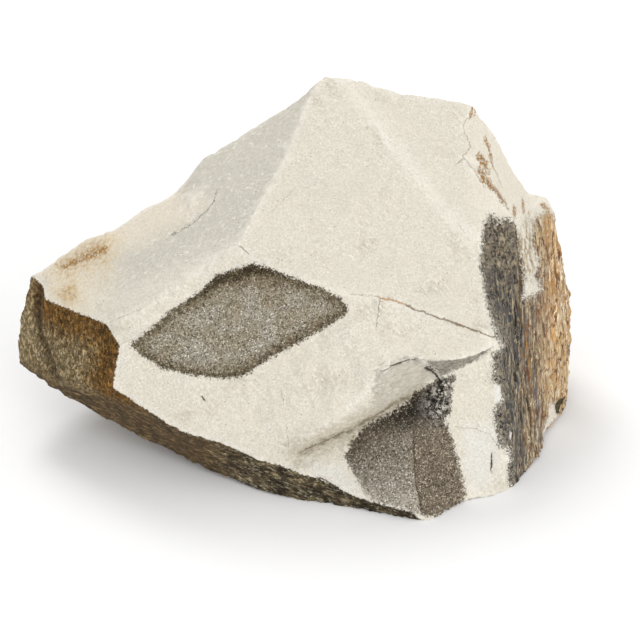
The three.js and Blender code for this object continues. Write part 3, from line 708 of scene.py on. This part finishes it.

# Rust in the veins, fresh white chips, and the cracks drawn dark to rusty, faint where they are thin and
# black where they gape. A crack strays from its run by up to its wobble, in millimetres.
WOBBLE = 0.22
rust = tinted(clouds(0.5, 0.42, 0.58, roughness=0.8), "#3d260e", "#c08b3a")
in_vein = ragged("rust", -0.15, 0.15, 0.4, fine_fray)
finish = laid(finish, faced(rust, grain, 0.1), in_vein, clouds(0.5, 0.36, 0.52))
chip = tinted(grain, "#e6e2d8", "#f8f5ef")
finish = laid(finish, faced(chip, grain, 0.1), ragged("chip", -0.1, 0.2, 0.3, fray))
wobble = add(rock, "ShaderNodeMapRange", {"Value": fray, "To Min": -WOBBLE, "To Max": WOBBLE})
crack_across = add(rock, "ShaderNodeAttribute", attribute_name="crack_across").outputs["Fac"]
crack_width = add(rock, "ShaderNodeAttribute", attribute_name="crack_width").outputs["Fac"]
off_line = add(rock, "ShaderNodeMath", {0: crack_across, 1: wobble}, operation="ADD")
off_line = add(rock, "ShaderNodeMath", {0: off_line}, operation="ABSOLUTE")
in_crack = add(rock, "ShaderNodeMath", {0: off_line, 1: crack_width}, operation="DIVIDE")
in_crack = add(rock, "ShaderNodeMapRange", {"Value": in_crack, "From Min": 1.5, "From Max": 0.6})
crack_end = within(rock, "crack_near", -0.7, -0.45)
in_crack = add(rock, "ShaderNodeMath", {0: in_crack, 1: crack_end}, operation="MULTIPLY")
faint = add(rock, "ShaderNodeMapRange", {"Value": crack_width, "From Min": 0.03, "From Max": 0.13,
                                         "To Min": 0.35, "To Max": 0.95})
rusty_crack = add(rock, "ShaderNodeAttribute", attribute_name="crack_rust").outputs["Fac"]
crack_tone = tinted(rusty_crack, "#2a251c", "#a87a38")
finish = laid(finish, faced(crack_tone, grain, 0.0), in_crack, faint)

bump = add(rock, "ShaderNodeBump", {"Height": finish[1], "Strength": 1.0, "Distance": 1.0})
shader = add(rock, "ShaderNodeBsdfPrincipled", {"Base Color": finish[0], "Roughness": 0.92,
                                                "Specular IOR Level": 0.25, "Normal": bump})
add(rock, "ShaderNodeOutputMaterial", {"Surface": shader})


def made_plain(piece, tree, sizes, material):
    """Runs a geometry tree on a piece with these sizes and this material, and keeps the mesh it makes."""
    modifier = piece.modifiers.new(tree.name, "NODES")
    modifier.node_group = tree
    for socket in tree.interface.items_tree:
        if socket.in_out == "INPUT" and socket.name in sizes:
            modifier[socket.identifier] = sizes[socket.name]
        if socket.in_out == "INPUT" and socket.name == "Material":
            modifier[socket.identifier] = material
    made = bpy.data.meshes.new_from_object(piece.evaluated_get(bpy.context.evaluated_depsgraph_get()))
    piece.modifiers.clear()
    piece.data = made


made_plain(stone, relief, RELIEF, tuff)
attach(stone, "root")
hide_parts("stone")

# ---------------------------------------------------------------------------------------------------------
# The crystals of the inclusions. Tabular zeolite crystals have grown at all angles on the floor of the lens
# and of the fan. Real ones are finer still: these are drawn as coarse as they need to be to show.
CRYSTALS = {
    "Length": 0.42 * MM,
    "Width": 0.3 * MM,
    "Thickness": 0.16 * MM,
    "Density": 8 / MM ** 2,
    "Smallest": 0.5,
    "Largest": 1.2,
}
druse = bpy.data.node_groups.new("crystal_druse", "GeometryNodeTree")
druse.interface.new_socket("Geometry", in_out="INPUT", socket_type="NodeSocketGeometry")
for name in CRYSTALS:
    druse.interface.new_socket(name, in_out="INPUT", socket_type="NodeSocketFloat")
druse.interface.new_socket("Material", in_out="INPUT", socket_type="NodeSocketMaterial")
druse.interface.new_socket("Geometry", in_out="OUTPUT", socket_type="NodeSocketGeometry")
entry = add(druse, "NodeGroupInput")
floors = add(druse, "ShaderNodeMath", {0: within(druse, "lens", 0.0, 0.5),
                                       1: within(druse, "fan", 0.0, 0.5)}, operation="MAXIMUM")
density = add(druse, "ShaderNodeMath", {0: floors, 1: entry.outputs["Density"]}, operation="MULTIPLY")
seats = add(druse, "GeometryNodeDistributePointsOnFaces", {"Mesh": entry, "Density": density, "Seed": 3},
            distribute_method="RANDOM")
sides = add(druse, "ShaderNodeCombineXYZ", {"X": entry.outputs["Width"], "Y": entry.outputs["Thickness"],
                                            "Z": entry.outputs["Length"]})
crystal = add(druse, "GeometryNodeMeshCube", {"Size": sides})
turn = add(druse, "FunctionNodeRandomValue", {"Min": (0.0, 0.0, 0.0), "Max": (math.tau,) * 3, "Seed": 5},
           data_type="FLOAT_VECTOR")
growth = add(druse, "FunctionNodeRandomValue", {"Min": entry.outputs["Smallest"],
                                                "Max": entry.outputs["Largest"], "Seed": 7},
             data_type="FLOAT")
grown = add(druse, "GeometryNodeInstanceOnPoints", {"Points": seats, "Instance": crystal, "Rotation": turn,
                                                    "Scale": growth})
real = add(druse, "GeometryNodeRealizeInstances", {"Geometry": grown})
dressed = add(druse, "GeometryNodeSetMaterial", {"Geometry": real, "Material": entry.outputs["Material"]})
add(druse, "NodeGroupOutput", {"Geometry": dressed})

crystals = bpy.data.objects.new("zeolite_crystals", stone.data.copy())
bpy.context.scene.collection.objects.link(crystals)
made_plain(crystals, druse, CRYSTALS, tuff)
# No corner goes below the surface that the stone rests on.
for corner in crystals.data.vertices:
    corner.co.z = max(corner.co.z, 0)
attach(crystals, "root")
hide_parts("stone")

# ---------------------------------------------------------------------------------------------------------
# The studio: a white card floor in an even pale room, a soft light above and behind, a little to the left,
# and a larger one in front at the right. The camera looks down at the front of the stone.
FLOOR_HALF = 3.0
ROOM_LIGHT = 0.73
LAMPS_AIM = Vector((0, 0, 20)) * MM
LOOK_AT = Vector((4.4, 0, 21.5)) * MM
CAMERA_AWAY = 355.6

floor_mesh = bpy.data.meshes.new("floor")
floor_mesh.from_pydata([(-FLOOR_HALF, -FLOOR_HALF, 0), (FLOOR_HALF, -FLOOR_HALF, 0),
                        (FLOOR_HALF, FLOOR_HALF, 0), (-FLOOR_HALF, FLOOR_HALF, 0)], [], [(0, 1, 2, 3)])
floor = bpy.data.objects.new("floor", floor_mesh)
bpy.context.scene.collection.objects.link(floor)
card = bpy.data.materials.new("white_card")
card.use_nodes = True
card.node_tree.nodes["Principled BSDF"].inputs["Base Color"].default_value = linear("#ffffff")
card.node_tree.nodes["Principled BSDF"].inputs["Roughness"].default_value = 1.0
floor_mesh.materials.append(card)

room = bpy.data.worlds.new("pale_room")
room.use_nodes = True
room.node_tree.nodes["Background"].inputs["Color"].default_value = linear("#ffffff")
room.node_tree.nodes["Background"].inputs["Strength"].default_value = ROOM_LIGHT
bpy.context.scene.world = room


def softbox(name, place, size, power):
    """A square area light that looks at the stone: its place and side in metres, and its watts."""
    lamp = bpy.data.lights.new(name, "AREA")
    lamp.size = size
    lamp.energy = power
    holder = bpy.data.objects.new(name, lamp)
    holder.location = place
    holder.rotation_euler = (LAMPS_AIM - Vector(place)).to_track_quat("-Z", "Y").to_euler()
    bpy.context.scene.collection.objects.link(holder)


softbox("top_softbox", (-0.25, 0.6, 0.8), 0.35, 3.5)
softbox("front_softbox", (0.62, -0.95, 0.42), 0.7, 5.4)

camera = bpy.data.cameras.new("camera")
camera.lens = 100
camera.sensor_width = 36
camera_holder = bpy.data.objects.new("camera", camera)
camera_holder.location = LOOK_AT + FRONT * CAMERA_AWAY * MM
camera_holder.rotation_euler = (math.radians(90) - LOOK_DOWN, 0, 0)
bpy.context.scene.collection.objects.link(camera_holder)
bpy.context.scene.camera = camera_holder
bpy.context.scene.view_settings.view_transform = "Standard"
